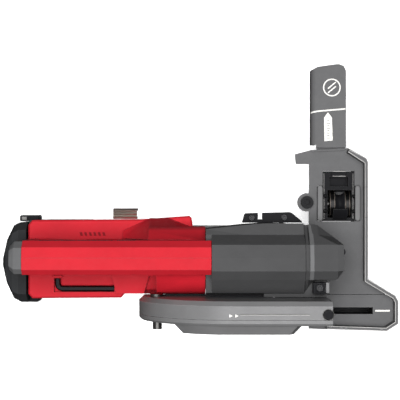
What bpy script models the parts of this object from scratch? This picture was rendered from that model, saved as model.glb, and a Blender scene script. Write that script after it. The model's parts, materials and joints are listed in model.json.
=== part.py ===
"""Compact cordless cut-off saw that slides on a small table stand.

Frame: +X towards the fence, +Y towards the support arm, +Z up.  The origin is on the
ground, below the middle of the bounding box.  The saw head (battery, handle, motor, gear
case and blade) slides along +X on two guide rods, so that the blade enters the slot of
the table beside the fence.
All sizes below are in millimetres and are scaled to metres when a mesh is made.
"""
import math

import bmesh
import bpy
from mathutils import Matrix, Vector

MM = 0.001
CENTRE = (0.0, 2.4, 0.0)       # the origin, in the coordinates of this drawing
GAP = 0.3                      # air between touching pieces
TABLE_TOP = 80.0               # height of the work surface
PLATE = 5.0                    # thickness of the table plate
BODY_Y = -58.7                 # middle plane of the saw body
HANDLE_Y = -55.3               # joint between the two handle shells
AXIS_Z = 107.0                 # height of the motor and spindle axes
SPINDLE_X = 37.3
BLADE_Y = -112.5
BLADE_R = 92.0
BLADE_T = 1.8
ROD_Z = 40.0
ROD_R = 6.0
ROD_Y = (-40.0, -77.0)
ROLLER = (141.7, -4.0, 74.0)   # centre of the roller
ROLLER_R = 13.7
GUARD_R = 98.0
GUARD_TOP = AXIS_Z + GUARD_R
GEAR_TEETH = 30
PINION_TEETH = 10
GEAR_R = 24.0                  # pitch radius of the bevel gear at its large end
PINION_R = GEAR_R * PINION_TEETH / GEAR_TEETH
CONE_FACE = 6.0                # length of the bevel teeth
HANDLE_HALF = 16.3             # half the width of the grip
RIDGE_TOP = 173.0
RIDGE = {1: ((10.1, 170.8), (HANDLE_HALF, 161.0)), -1: ((11.3, 172.6), (HANDLE_HALF, 166.5))}
REAR_X = -170.3                # rear end of the handle
LEDGE = 0.4                    # the fence stands this far below the work surface

COLOURS = {
    "red": ((0.62, 0.03, 0.04), 0.42, 0.0),
    "dark": ((0.06, 0.062, 0.068), 0.5, 0.0),
    "rubber": ((0.1, 0.1, 0.105), 0.75, 0.0),
    "black": ((0.02, 0.02, 0.022), 0.55, 0.0),
    "plate": ((0.25, 0.25, 0.26), 0.45, 0.8),
    "light_metal": ((0.5, 0.5, 0.51), 0.35, 0.9),
    "steel": ((0.6, 0.59, 0.57), 0.25, 1.0),
    "dark_metal": ((0.06, 0.062, 0.068), 0.45, 0.3),
    "black_steel": ((0.025, 0.025, 0.027), 0.4, 0.8),
    "green": ((0.02, 0.2, 0.08), 0.5, 0.0),
    "cell": ((0.1, 0.25, 0.5), 0.4, 0.0),
    "lens": ((0.03, 0.03, 0.032), 0.2, 0.0),
    "copper": ((0.55, 0.24, 0.1), 0.35, 1.0),
}


# ---------------------------------------------------------------- scene and tools
def start():
    """Empty the scene and make the saw's collection."""
    for item in list(bpy.data.objects):
        bpy.data.objects.remove(item, do_unlink=True)
    made = bpy.data.collections.new("cutoff_saw")
    bpy.context.scene.collection.children.link(made)
    return made


SAW = start()


def material(name):
    """One Principled material for each finish."""
    if name in bpy.data.materials:
        return bpy.data.materials[name]
    colour, rough, metal = COLOURS[name]
    made = bpy.data.materials.new(name)
    made.use_nodes = True
    shader = made.node_tree.nodes["Principled BSDF"]
    shader.inputs["Base Color"].default_value = (*colour, 1.0)
    shader.inputs["Roughness"].default_value = rough
    shader.inputs["Metallic"].default_value = metal
    made.diffuse_color = (*colour, 1.0)
    return made


def as_object(bm, name="piece"):
    """Turn a bmesh in millimetres into an object in metres."""
    bmesh.ops.scale(bm, vec=(MM, MM, MM), verts=bm.verts)
    bmesh.ops.recalc_face_normals(bm, faces=bm.faces)
    mesh = bpy.data.meshes.new(name)
    bm.to_mesh(mesh)
    bm.free()
    made = bpy.data.objects.new(name, mesh)
    SAW.objects.link(made)
    return made


def evaluated(obj):
    """Replace an object's mesh by what its modifiers make of it."""
    graph = bpy.context.evaluated_depsgraph_get()
    mesh = bpy.data.meshes.new_from_object(obj.evaluated_get(graph))
    obj.modifiers.clear()
    obj.data = mesh
    return obj


def boolean(target, tools, operation):
    """Join or cut the target with each tool, and remove the tools."""
    for tool in tools:
        change = target.modifiers.new("change", "BOOLEAN")
        change.operation = operation
        change.solver = "EXACT"
        change.object = tool
        evaluated(target)
        bpy.data.objects.remove(tool, do_unlink=True)
    return target


def cut(target, *tools):
    return boolean(target, tools, "DIFFERENCE")


def join(target, *tools):
    return boolean(target, tools, "UNION")


def soften(obj, width, segments=1, angle=35.0):
    """Bevel the sharp edges."""
    change = obj.modifiers.new("edges", "BEVEL")
    change.width = width * MM
    change.segments = segments
    change.limit_method = "ANGLE"
    change.angle_limit = math.radians(angle)
    return evaluated(obj)


def box(x, y, z):
    """A block between two values on each axis."""
    bm = bmesh.new()
    bmesh.ops.create_cube(bm, size=1.0)
    size = (x[1] - x[0], y[1] - y[0], z[1] - z[0])
    bmesh.ops.scale(bm, vec=size, verts=bm.verts)
    middle = ((x[0] + x[1]) / 2, (y[0] + y[1]) / 2, (z[0] + z[1]) / 2)
    bmesh.ops.translate(bm, vec=middle, verts=bm.verts)
    return as_object(bm)


TURN = {
    "x": Matrix.Rotation(math.radians(90), 4, "Y"),
    "y": Matrix.Rotation(math.radians(-90), 4, "X"),
    "z": Matrix.Identity(4),
}


def place(bm, axis, centre):
    """Turn a shape made along +Z onto an axis, and move it to its centre."""
    bmesh.ops.transform(bm, matrix=TURN[axis], verts=bm.verts)
    bmesh.ops.translate(bm, vec=centre, verts=bm.verts)


def along(axis, centre, value):
    """A centre with its coordinate on the axis replaced."""
    at = list(centre)
    at["xyz".index(axis)] = value
    return Vector(at)


def rod(axis, centre, radius, low, high, sides=24):
    """A cylinder between two values on an axis."""
    bm = bmesh.new()
    bmesh.ops.create_cone(bm, cap_ends=True, segments=sides, radius1=radius,
                          radius2=radius, depth=high - low)
    place(bm, axis, along(axis, centre, (low + high) / 2))
    return as_object(bm)


def turned(axis, centre, profile, steps=32):
    """A solid of revolution: profile holds (radius, position on the axis)."""
    mesh = bpy.data.meshes.new("profile")
    bm = bmesh.new()
    points = [bm.verts.new((r, 0.0, t)) for r, t in profile]
    ring = min(r for r, _ in profile) > 0.0
    pairs = list(zip(points, points[1:]))
    if ring:
        pairs.append((points[-1], points[0]))
    for first, second in pairs:
        bm.edges.new((first, second))
    bm.to_mesh(mesh)
    bm.free()
    shape = bpy.data.objects.new("profile", mesh)
    SAW.objects.link(shape)
    screw = shape.modifiers.new("turn", "SCREW")
    screw.axis = "Z"
    screw.steps = steps
    screw.render_steps = steps
    screw.use_merge_vertices = True
    screw.merge_threshold = 0.00005
    evaluated(shape)
    bm = bmesh.new()
    bm.from_mesh(shape.data)
    bpy.data.objects.remove(shape, do_unlink=True)
    bmesh.ops.remove_doubles(bm, verts=bm.verts, dist=0.0001)
    place(bm, axis, along(axis, centre, 0.0))
    return as_object(bm)


PLANES = {
    "xy": lambda u, v, w: (u, v, w),
    "xz": lambda u, v, w: (u, w, v),
    "yz": lambda u, v, w: (w, u, v),
}


def slab(plane, outline, low, high, *holes):
    """A flat outline, with any holes, given a thickness across its plane."""
    curve = bpy.data.curves.new("outline", "CURVE")
    curve.dimensions = "2D"
    curve.fill_mode = "BOTH"
    curve.extrude = (high - low) / 2
    for loop in (outline, *holes):
        spline = curve.splines.new("POLY")
        spline.points.add(len(loop) - 1)
        for point, (u, v) in zip(spline.points, loop):
            point.co = (u, v, 0.0, 1.0)
        spline.use_cyclic_u = True
    shape = bpy.data.objects.new("outline", curve)
    SAW.objects.link(shape)
    graph = bpy.context.evaluated_depsgraph_get()
    mesh = bpy.data.meshes.new_from_object(shape.evaluated_get(graph))
    bm = bmesh.new()
    bm.from_mesh(mesh)
    bpy.data.objects.remove(shape, do_unlink=True)
    bmesh.ops.remove_doubles(bm, verts=bm.verts, dist=0.0001)
    middle = (low + high) / 2
    for vert in bm.verts:
        vert.co = PLANES[plane](vert.co.x, vert.co.y, vert.co.z + middle)
    return as_object(bm)


def loft(rings):
    """Join rings with equal numbers of points into one closed solid."""
    bm = bmesh.new()
    rows = [[bm.verts.new(point) for point in ring] for ring in rings]
    count = len(rows[0])
    for first, second in zip(rows, rows[1:]):
        for i in range(count):
            j = (i + 1) % count
            bm.faces.new((first[i], first[j], second[j], second[i]))
    bm.faces.new(rows[0])
    bm.faces.new(rows[-1])
    return as_object(bm)


def arc(centre, radius, start, stop, count):
    """Points along an arc, with its angles in degrees."""
    points = []
    for i in range(count + 1):
        angle = math.radians(start + (stop - start) * i / count)
        points.append((centre[0] + radius * math.cos(angle),
                       centre[1] + radius * math.sin(angle)))
    return points


def circle(centre, radius, sides=24):
    return arc(centre, radius, 0, 360, sides)[:-1]


def tube(points, radius, resolution=2):
    """A round bar along a smooth list of points."""
    curve = bpy.data.curves.new("bar", "CURVE")
    curve.dimensions = "3D"
    curve.bevel_depth = radius
    curve.bevel_resolution = resolution
    curve.use_fill_caps = True
    spline = curve.splines.new("POLY")
    spline.points.add(len(points) - 1)
    for point, place_at in zip(spline.points, points):
        point.co = (*place_at, 1.0)
    shape = bpy.data.objects.new("bar", curve)
    SAW.objects.link(shape)
    graph = bpy.context.evaluated_depsgraph_get()
    mesh = bpy.data.meshes.new_from_object(shape.evaluated_get(graph))
    bm = bmesh.new()
    bm.from_mesh(mesh)
    bpy.data.objects.remove(shape, do_unlink=True)
    bmesh.ops.remove_doubles(bm, verts=bm.verts, dist=0.0001)
    return as_object(bm)


def node(name, obj, finish, origin=None):
    """Give a piece its name, its material and its origin."""
    obj.name = name
    obj.data.name = name
    obj.data.materials.clear()
    obj.data.materials.append(material(finish))
    own = Vector(CENTRE if origin is None else origin)
    obj.data.transform(Matrix.Translation(-own * MM))
    obj.location = (own - Vector(CENTRE)) * MM
    obj.data.shade_smooth()
    obj.data.set_sharp_from_angle(angle=math.radians(30))
    return obj


def socket_screw(axis, centre, head, low, high):
    """A socket head: a short cylinder with a blind hexagon in its outer end."""
    made = rod(axis, centre, head, low, high, 20)
    return cut(made, rod(axis, centre, head * 0.5, high - 0.6 * (high - low), high + 1, 6))


# ---------------------------------------------------------------- stand
SEAM_Y = -96.0                 # where the kerf strip meets the table plate
FENCE_X = (165.6, 169.0)       # inner and outer face of the fence
FENCE_TOP = 97.0
SKIRT = 3.6                    # wall of the hollow base
BASE_X = 116.6                 # side of the base towards the saw head


def fence_ledge():
    """Cutter for the step that the fence stands on."""
    outline = [(147.8, 60.0), (147.8, 47.4), (165.3, 36.8), (165.3, -81.8), (193.5, -98.8),
               (195.7, -102.9), (195.7, -122.4), (186.7, -128.1), (127.0, -126.1),
               (127.0, -140.0), (215.0, -140.0), (215.0, 60.0)]
    return slab("xy", outline, TABLE_TOP - LEDGE, TABLE_TOP + 5.0)


def table_plate():
    low = TABLE_TOP - PLATE
    lobe = arc((108.5, -2.4), 9.5, 283, 77, 10)
    outline = [(110.7, SEAM_Y + GAP), (110.7, -14.0), *lobe, (111.0, 10.0), (111.0, 36.5),
               (97.5, 36.5), (96.5, 46.7), (112.8, 50.8), (150.4, 52.8), (169.2, 42.7),
               (170.9, 38.7), (170.9, -80.3), (196.0, SEAM_Y + GAP)]
    opening = [(124.5, -22.0), (157.0, -22.0), (157.0, -21.4), (162.3, -21.4), (162.3, 14.4),
               (157.0, 14.4), (157.0, 29.5), (124.5, 29.5), (124.5, 14.4), (118.7, 14.4),
               (118.7, -21.4), (124.5, -21.4)]
    bolt_hole = circle((108.5, -2.4), 3.4, 16)
    plate = slab("xy", outline, low, TABLE_TOP, opening, bolt_hole)
    bolt_seat = rod("z", (108.5, -2.4, 0), 7.1, TABLE_TOP - LEDGE, TABLE_TOP + 5.0, 24)
    return node("table_plate", cut(plate, fence_ledge(), bolt_seat), "plate")


def kerf_strip():
    """Slotted strip beside the blade, on its own hollow leg."""
    top = TABLE_TOP - PLATE
    outline = [(110.7, SEAM_Y - GAP), (110.7, -130.7), (188.5, -133.3), (201.0, -125.3),
               (201.0, -102.0), (197.6, SEAM_Y - GAP)]
    strip = slab("xy", outline, top, TABLE_TOP)
    slot = box((105, 175.7), (BLADE_Y - 3.5, BLADE_Y + 3.5), (60, 90))
    outer = [(180.0, -129.0), (187.0, -129.8), (197.5, -123.0), (197.5, -104.0), (193.5, -98.6),
             (180.0, -98.6)]
    hollow = [(184.0, -125.0), (186.5, -125.0), (193.5, -120.5), (193.5, -106.0),
              (191.0, -102.6), (184.0, -102.6)]
    leg = slab("xy", outer, 0.0, top + 1.0, hollow)
    return node("kerf_strip", cut(join(strip, leg), slot, fence_ledge()), "plate")


def fence_rim():
    inner, outer = FENCE_X
    outline = [(150.0, 51.0), (167.4, 42.0), (outer, 38.0), (outer, -79.6), (196.4, -96.0),
               (199.4, -101.6), (199.4, -124.4), (187.8, -131.8), (127.3, -129.8),
               (127.3, -126.4), (186.8, -128.4), (196.0, -122.6), (196.0, -102.8),
               (193.8, -98.6), (inner, -81.6), (inner, 37.0), (148.6, 47.8)]
    rim = slab("xy", outline, TABLE_TOP + 0.1, FENCE_TOP)
    return node("fence_rim", rim, "plate")


def stand_base():
    top = TABLE_TOP - PLATE - GAP
    outer = [(BASE_X, -95.0), (169.0, -95.0), (169.0, 34.0), (160.0, 44.5), (BASE_X, 44.5)]
    hollow = [(BASE_X + SKIRT, -91.0), (165.0, -91.0), (165.0, 32.0), (158.0, 40.5),
              (BASE_X + SKIRT, 40.5)]
    base = slab("xy", outer, 4.0, top, hollow)
    window = box((125, 157), (30, 60), (20, 50))
    bracket_room = box((118.7, 130.0), (-21.4, 14.4), (53.6, 80.0))
    ledge = [(-94.0, top), (-94.0, 56.0), (-99.3, 56.0), (-99.3, 67.0), (-104.0, 71.0),
             (-104.0, top)]
    channel = [(-94.0, 5.0), (-94.0, 8.6), (-119.0, 8.6), (-119.0, top), (-121.4, top),
               (-121.4, 5.0)]
    base = join(cut(base, window, bracket_room), slab("yz", ledge, 118.0, 168.0),
                slab("yz", channel, BASE_X, 179.6))
    return node("stand_base", base, "dark_metal")


def base_pad():
    """Rubber gasket under the hollow base."""
    outer = [(117.0, -94.6), (168.6, -94.6), (168.6, 33.6), (159.8, 44.1), (117.0, 44.1)]
    hollow = [(120.6, -87.6), (161.6, -87.6), (161.6, 30.8), (156.4, 37.1), (120.6, 37.1)]
    return node("base_pad", slab("xy", outer, 0.0, 4.0 - GAP, hollow), "black")


def guide_rods():
    for name, y in zip(("guide_rod_left", "guide_rod_right"), ROD_Y):
        node(name, rod("x", (0, y, ROD_Z), ROD_R, -26.4, BASE_X - GAP, 28), "steel")


def rod_end_block():
    outline = [(-89.0, 0.0), (-27.0, 0.0), (-27.0, 49.0), (-33.0, 55.0), (-83.0, 55.0),
               (-89.0, 49.0)]
    window = [(-70.0, 12.0), (-47.0, 12.0), (-47.0, 46.0), (-70.0, 46.0)]
    block = slab("yz", outline, -40.0, -26.7, window)
    return node("rod_end_block", block, "dark_metal")


def support_arm():
    """Folded sheet: a flange on the base, a step up and a flat top with a bent side."""
    steps = [(44.8, 46.0), (48.8, 46.0), (48.8, 70.5), (58.0, 70.5), (58.0, 76.0), (138.1, 76.0),
             (138.1, 80.0), (53.4, 80.0), (53.4, 74.5), (44.8, 74.5)]
    arm = slab("yz", steps, 118.8, 148.4)
    outer_arc = arc((118.8, 74.0), 6.0, 90, 180, 5)
    inner_arc = arc((118.8, 74.0), 2.0, 180, 90, 5)
    side = slab("xz", [(121.0, 80.0), *outer_arc, (112.8, 62.0), (116.8, 62.0), *inner_arc,
                       (121.0, 76.0)], 56.0, 138.1)
    arm = join(arm, side)
    corner = slab("xy", [(149.0, 131.0), (148.4, 131.6), (146.0, 136.4), (141.6, 138.1),
                         (141.0, 139.0), (149.0, 139.0)], 50, 90)
    slope = slab("xy", [(112.0, 131.5), (112.8, 131.9), (119.5, 135.4), (141.0, 138.4),
                        (141.0, 139.0), (112.0, 139.0)], 50, 90)
    return node("support_arm", cut(arm, corner, slope), "plate")


def arm_clamp():
    """Strip with two screws that holds the arm's flange to the base."""
    strip = box((119.5, 147.5), (49.1, 51.0), (52.5, 63.5))
    heads = [socket_screw("y", (x, 0, 58.0), 4.2, 50.5, 54.0) for x in (124.5, 142.5)]
    return node("arm_clamp", join(strip, *heads), "black_steel")


# ---------------------------------------------------------------- roller
def roller_bracket():
    """Two cheeks and a bridge below the roller, with a flange under the clamp bolt."""
    cheek = [(-21.0, 56.0), (-21.0, 79.0), (-19.0, 82.6), (-15.0, 84.0), (8.0, 84.0),
             (12.0, 82.6), (14.0, 79.0), (14.0, 56.0)]
    hole = circle((-4.0, 74.0), 3.3, 16)
    cheeks = [slab("yz", cheek, low, high, hole) for low, high in ((119.0, 124.3), (157.2, 162.0))]
    bridge = box((119.0, 162.0), (-21.0, 14.0), (54.0, 59.8))
    bracket = join(bridge, *cheeks)
    return node("roller_bracket", bracket, "plate")


def roller_axle():
    profile = [(0.0, 162.0), (3.0, 162.0), (3.0, 119.0), (0.0, 119.0)]
    axle = turned("x", (0, ROLLER[1], ROLLER[2]), profile, 20)
    return node("roller_axle", axle, "steel")


def roller_wheel():
    """A grooved black tyre on a steel core with two rims."""
    at = (0, ROLLER[1], ROLLER[2])
    low, high, rim, bore, hub = 131.0, 152.4, 5.5, 3.3, 6.0
    side = [(bore, low), (bore, high), (ROLLER_R - 0.8, high), (ROLLER_R, high - 1.0),
            (ROLLER_R, high - rim), (hub, high - rim), (hub, low + rim), (ROLLER_R, low + rim),
            (ROLLER_R, low + 1.0), (ROLLER_R - 0.8, low)]
    node("roller_core", turned("x", at, side, 32), "steel", ROLLER)
    first, last = low + rim + GAP, high - rim - GAP
    groove = [(ROLLER_R - 2.0 - 2.6 * math.sin(math.pi * i / 6), last + (first - last) * i / 6)
              for i in range(7)]
    tyre = turned("x", at, [(hub + GAP, first), (hub + GAP, last), *groove], 32)
    node("roller_tyre", tyre, "black", ROLLER)


def guide_shoe():
    """Black tray round the roller, with a sunk step in front of it."""
    tray = box((124.8, 156.7), (-21.4, 29.0), (62.0, 79.2))
    room = rod("x", (0, ROLLER[1], ROLLER[2]), ROLLER_R + 1.4, 129.6, 153.8, 24)
    over = box((129.6, 153.8), (-17.0, 9.0), (74.0, 90.0))
    step = box((131.5, 150.5), (13.6, 23.5), (68.0, 90.0))
    under = box((126.8, 155.2), (-19.4, 27.0), (50.0, 65.5))
    axle_hole = rod("x", (0, ROLLER[1], ROLLER[2]), 3.4, 120.0, 160.0, 20)
    node("guide_shoe", cut(tray, room, over, step, under, axle_hole), "black")


def clamp_bolt():
    head = rod("z", (108.5, -2.4, 0), 6.4, TABLE_TOP + 0.1, TABLE_TOP + 5.5, 20)
    recess = rod("z", (108.5, -2.4, 0), 3.2, TABLE_TOP + 2.5, TABLE_TOP + 9, 6)
    shank = rod("z", (108.5, -2.4, 0), 3.0, 52.0, TABLE_TOP + 1.5, 16)
    bolt = cut(join(head, shank), recess)
    node("clamp_bolt", bolt, "black_steel", (108.5, -2.4, TABLE_TOP))


# ---------------------------------------------------------------- saw head
CARRIAGE_X = (-21.0, 56.0)


def carriage():
    outline = [(-91.0, 33.0), (-85.0, 27.0), (-32.0, 27.0), (-26.5, 33.0), (-26.5, 66.0),
               (-91.0, 66.0)]
    bores = [circle((y, ROD_Z), ROD_R + 0.35, 28) for y in ROD_Y]
    block = slab("yz", outline, *CARRIAGE_X, *bores)
    return node("carriage", block, "light_metal")


def lower_housing():
    """Flat red body above the battery, with the channel for the battery's rails."""
    outline = [(-170.0, -20.4), (-60.0, -19.6), (-11.0, -16.2), (-8.6, -18.0), (-7.0, -29.0),
               (-7.0, -84.0), (-14.0, -91.5), (-73.0, -91.5), (-80.0, -99.0), (-170.0, -99.6),
               (-174.0, -95.0), (-174.0, -25.0)]
    body = slab("xy", outline, 66.6, 84.0)
    body = soften(body, 1.6, 1, 50)
    neck = box((-190, -103), (BODY_Y - 24.4, BODY_Y + 24.4), (60, 70.4))
    head = box((-190, -103), (BODY_Y - 29.4, BODY_Y + 29.4), (70.3, 76.0))
    key_slot = box((-148.0, -86.7), (-93.2, -76.5), (78.5, 100))
    trough = rod("x", (0, BODY_Y, AXIS_Z), 29.4, -46.0, 20.0, 32)
    flap = slab("xy", [(-89.5, -74.5), (-51.0, -74.5), (-56.5, -94.3), (-84.5, -94.3)], 82.0, 91.0)
    body = join(cut(body, neck, head, key_slot, trough), flap)
    return node("lower_housing", body, "red")


def d_handle():
    """Closed handle with its ridge in two shells, with a cavity for the switch."""
    outer = [(REAR_X, 84.3), (-51.0, 84.3), (-51.0, 150.3), (10.9, 150.3), (10.9, 180.0),
             (REAR_X, 180.0)]
    opening = [(-158.0, 97.0), (-152.0, 91.0), (-82.0, 91.0), (-76.0, 97.0), (-79.0, 126.0),
               (-87.0, 133.0), (-150.0, 134.0), (-158.0, 127.0)]
    for name, side in (("handle_shell_left", 1), ("handle_shell_right", -1)):
        span = sorted(HANDLE_Y + side * w for w in (0.15, HANDLE_HALF))
        shell = slab("xz", outer, *span, opening)
        shell = chamfer_opening(shell, HANDLE_Y + side * HANDLE_HALF, 5.0)
        (inner, high), (wide, low) = RIDGE[side]
        steep = (high - low) / (wide - inner)
        half = [(-1.0, 80.0), (-1.0, RIDGE_TOP), (inner, high), (wide + 1, low - steep),
                (wide + 1, 80.0)]
        shape = slab("yz", [(HANDLE_Y + side * w, z) for w, z in half], REAR_X - 5, 15.0)
        shell = boolean(shell, [shape], "INTERSECT")
        hollow = box((-128, -60), (HANDLE_Y - 10.2, HANDLE_Y + 10.2), (139.0, 165.0))
        slot = box((-112, -86), (HANDLE_Y - 6.5, HANDLE_Y + 6.5), (125.0, 150.0))
        button = box((-78.3, -63.7), (HANDLE_Y + 9.0, HANDLE_Y + 30.0), (146.7, 157.3))
        node(name, cut(shell, hollow, slot, button), "red")


def ridge_ring(x, narrow, drop, low):
    """The ridge's section at one station, narrowed and lowered."""
    left = [(w, z) for w, z in reversed(RIDGE[1])]
    right = [(-w, z) for w, z in RIDGE[-1]]
    section_at = [(HANDLE_HALF, low + drop), *left, (0.0, RIDGE_TOP), *right,
                  (-HANDLE_HALF, low + drop)]
    return [(x, HANDLE_Y + w * narrow, z - drop) for w, z in section_at]


def handle_bumper():
    """Dark rubber end behind the handle, above the battery's cap."""
    rings = [ridge_ring(REAR_X - GAP, 0.95, 0.5, 91.5), ridge_ring(-178.3, 0.95, 0.7, 91.5),
             ridge_ring(-182.9, 0.68, 3.4, 91.5)]
    return node("handle_bumper", loft(rings), "rubber")


def chamfer_opening(obj, side, width):
    """Chamfer the edges of the hand opening that lie in one side face."""
    bm = bmesh.new()
    bm.from_mesh(obj.data)
    edges = []
    for edge in bm.edges:
        if any(abs(v.co.y - side * MM) > 1e-5 for v in edge.verts):
            continue
        middle = (edge.verts[0].co + edge.verts[1].co) / 2 / MM
        if -159 < middle.x < -75 and middle.z < 136 and edge.calc_face_angle(0.0) > 0.5:
            edges.append(edge)
    bmesh.ops.bevel(bm, geom=edges, offset=width * MM, segments=1, affect="EDGES", profile=0.5)
    bmesh.ops.recalc_face_normals(bm, faces=bm.faces)
    bm.to_mesh(obj.data)
    bm.free()
    return obj


MOTOR_X = (-50.7, 5.2)
MOTOR_SECTION = [(-28.7, 67.0), (-26.7, 74.0), (-26.7, 112.0), (-30.3, 125.5), (-39.0, 135.5),
                 (-39.0, 150.0), (-71.6, 150.0), (-89.2, 136.0), (-93.0, 118.0), (-93.0, 74.0), (-90.7, 67.0)]


def mirrored(half):
    """A closed section in the YZ plane from points (half width, height) on one side."""
    right = [(BODY_Y + w, z) for w, z in half]
    left = [(BODY_Y - w, z) for w, z in reversed(half)]
    return right + left


def motor_blend():
    """Slope between the motor housing and the wider body beside it."""
    rings = []
    for x, foot, shoulder, top in ((-78.0, -31.0, 86.5, 90.0), (-50.4, -18.3, 90.0, 136.0),
                                   (-34.0, -18.3, 90.0, 136.0), (-9.0, -27.6, 90.0, 136.0)):
        rings.append([(x, -38.6, 84.7), (x, foot, 84.7), (x, foot - 0.5, shoulder),
                      (x, -38.6, top)])
    return loft(rings)


def motor_housing():
    body = join(slab("yz", MOTOR_SECTION, *MOTOR_X), motor_blend())
    bore = rod("x", (0, BODY_Y, AXIS_Z), 29.4, -40.0, 20.0, 32)
    seat = rod("x", (0, BODY_Y, AXIS_Z), 11.3, -46.2, -38.0, 24)
    lift = box((-60, -6.7), (-120, 0), (60, 84.4))
    step = box((-60, -42.5), (-100, -73.5), (80, 160))
    return node("motor_housing", cut(body, bore, seat, lift, step), "red")


COVER = ((5.7, -28.3, -90.7, 0.0), (42.0, -24.4, -90.7, 0.0), (62.0, -22.7, -90.7, 0.0),
         (100.4, -22.7, -90.7, 0.0), (101.2, -24.0, -89.4, 2.0), (103.8, -24.0, -86.0, 2.0))
NOSE = ((108.9, -23.4, -79.0, 0.0), (113.5, -24.2, -78.0, 0.4), (131.5, -37.2, -77.4, 2.2),
        (137.3, -41.6, -68.5, 3.4))
NOSE_LOW = 144.0
LOCK_AT = (SPINDLE_X + 26.0, 0, AXIS_Z)
BOSS_R = 20.5                  # boss that carries the guard


def section(station, shoulder):
    """The cover's faceted section at one station: x, the two sides' y and a drop."""
    x, plus, minus, drop = station
    ledge = (-33.6, 150.0) if shoulder else ((plus - 42.8) / 2, 159.3)
    top = [(plus, 146.0), ledge, (-42.8, 172.6), (-55.3, 175.3), (-67.7, 175.0),
           (max(-76.4, minus), 166.0), (max(-90.0, minus), 149.5), (minus, 147.0)]
    return [(x, plus, 68.0), *((x, y, z - drop) for y, z in top), (x, minus, 68.0)]


def gear_cover():
    """Dark faceted cover over the gear case, with the nose in front of it."""
    cover = loft([*(section(at, True) for at in COVER), *(section(at, False) for at in NOSE)])
    ridge_room = box((0, 11.4), (-120, 0), (150.0, 190.0))
    under = box((84.0, 150), (-120, 0), (60, NOSE_LOW))
    inside = slab("yz", [(-27.0, 60.0), (-27.0, 132.0), (-31.0, 139.5), (-84.0, 139.5),
                         (-87.0, 132.0), (-87.0, 60.0)], 40.0, 84.0)
    back_room = slab("yz", [(-31.2, 60.0), (-31.2, 134.0), (-34.5, 139.5), (-84.0, 139.5),
                            (-87.0, 132.0), (-87.0, 60.0)], 0.0, 41.0)
    spindle_hole = rod("y", (SPINDLE_X, 0, AXIS_Z), 26.0, -100.0, -80.0, 36)
    lock_hole = rod("y", LOCK_AT, 5.7, -30.0, -15.0, 20)
    slope = clearance((44.0, 68.0), (84.5, 118.0))
    shelf = box((62.0, 123.6), (-94.3, -76.0), (NOSE_LOW, 145.7))
    cover = join(cut(cover, ridge_room, under), shelf)
    cover = cut(cover, inside, back_room, spindle_hole, lock_hole, slope)
    return node("gear_cover", cover, "dark")


GEARCASE_X = (12.4, 78.0)
GEARCASE_Y = (-78.2, -32.0)


def clearance(low, high):
    """Cutter for the space that the table needs when the head is pushed forward."""
    steep = (high[1] - low[1]) / (high[0] - low[0])
    start = (low[0] - (low[1] - 60.0) / steep, 60.0)
    return slab("xz", [start, high, (150.0, high[1]), (150.0, 60.0)], -120, 0)


def gear_case():
    """Metal case: a pocket for the bevel gear, open on the blade side."""
    case = box(GEARCASE_X, GEARCASE_Y, (66.6, 138.5))
    case = soften(case, 4.0, 1, 50)
    spindle = (SPINDLE_X, 0, AXIS_Z)
    pocket = rod("y", spindle, 27.6, -90.0, -50.0, 32)
    seat = rod("y", spindle, 11.4, -60.0, -34.0, 28)
    pinion_bore = rod("x", (0, BODY_Y, AXIS_Z), 11.0, 0.0, 30.0, 28)
    lock_bore = rod("y", LOCK_AT, 5.7, -34.0, -15.0, 20)
    case = cut(case, pocket, seat, pinion_bore, lock_bore, clearance((44.0, 66.6), (80.0, 110.0)))
    return node("gear_case", case, "light_metal")


def bearing_plate():
    """Lid of the gear case: it holds the outer bearing and carries the guard."""
    face = rod("y", (SPINDLE_X, 0, AXIS_Z), 25.6, -86.6, -78.5, 40)
    boss = rod("y", (SPINDLE_X, 0, AXIS_Z), BOSS_R, -97.0, -86.0, 40)
    plate = join(face, boss)
    seat = rod("y", (SPINDLE_X, 0, AXIS_Z), 14.4, -86.0, -70.0, 28)
    hole = rod("y", (SPINDLE_X, 0, AXIS_Z), 8.5, -100.0, -80.0, 28)
    return node("bearing_plate", cut(plate, seat, hole), "light_metal")


def ring(axis, centre, inner, outer, low, high, steps=28):
    profile = [(inner, low), (inner, high), (outer, high), (outer, low)]
    return turned(axis, centre, profile, steps)


def bearings():
    motor = (0, BODY_Y, AXIS_Z)
    spindle = (SPINDLE_X, 0, AXIS_Z)
    node("motor_bearing_rear", ring("x", motor, 4.35, 11.0, -45.6, -41.0), "steel")
    node("motor_bearing_front", ring("x", motor, 4.35, 12.0, 3.0, 8.0), "steel")
    node("spindle_bearing_inner", ring("y", spindle, 6.35, 11.0, -46.0, -38.0), "steel")
    node("spindle_bearing_outer", ring("y", spindle, 6.35, 14.0, -85.6, -79.0), "steel")


def motor():
    at = (0, BODY_Y, AXIS_Z)
    stator = turned("x", at, [(17.0, -38.5), (17.0, -13.5), (28.6, -13.5), (28.6, -38.5)], 36)
    slots = [rod("x", (0, BODY_Y + 17.5 * math.cos(a), AXIS_Z + 17.5 * math.sin(a)), 2.2, -45, 0, 8)
             for a in (math.tau * i / 6 for i in range(6))]
    node("stator", cut(stator, *slots), "copper")
    profile = [(0.0, -46.0), (4.0, -46.0), (4.0, -38.5), (14.6, -38.5), (14.6, -13.5),
               (4.0, -13.5), (4.0, 12.0), (0.0, 12.0)]
    node("rotor", turned("x", at, profile, 32), "steel", at)


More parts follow.
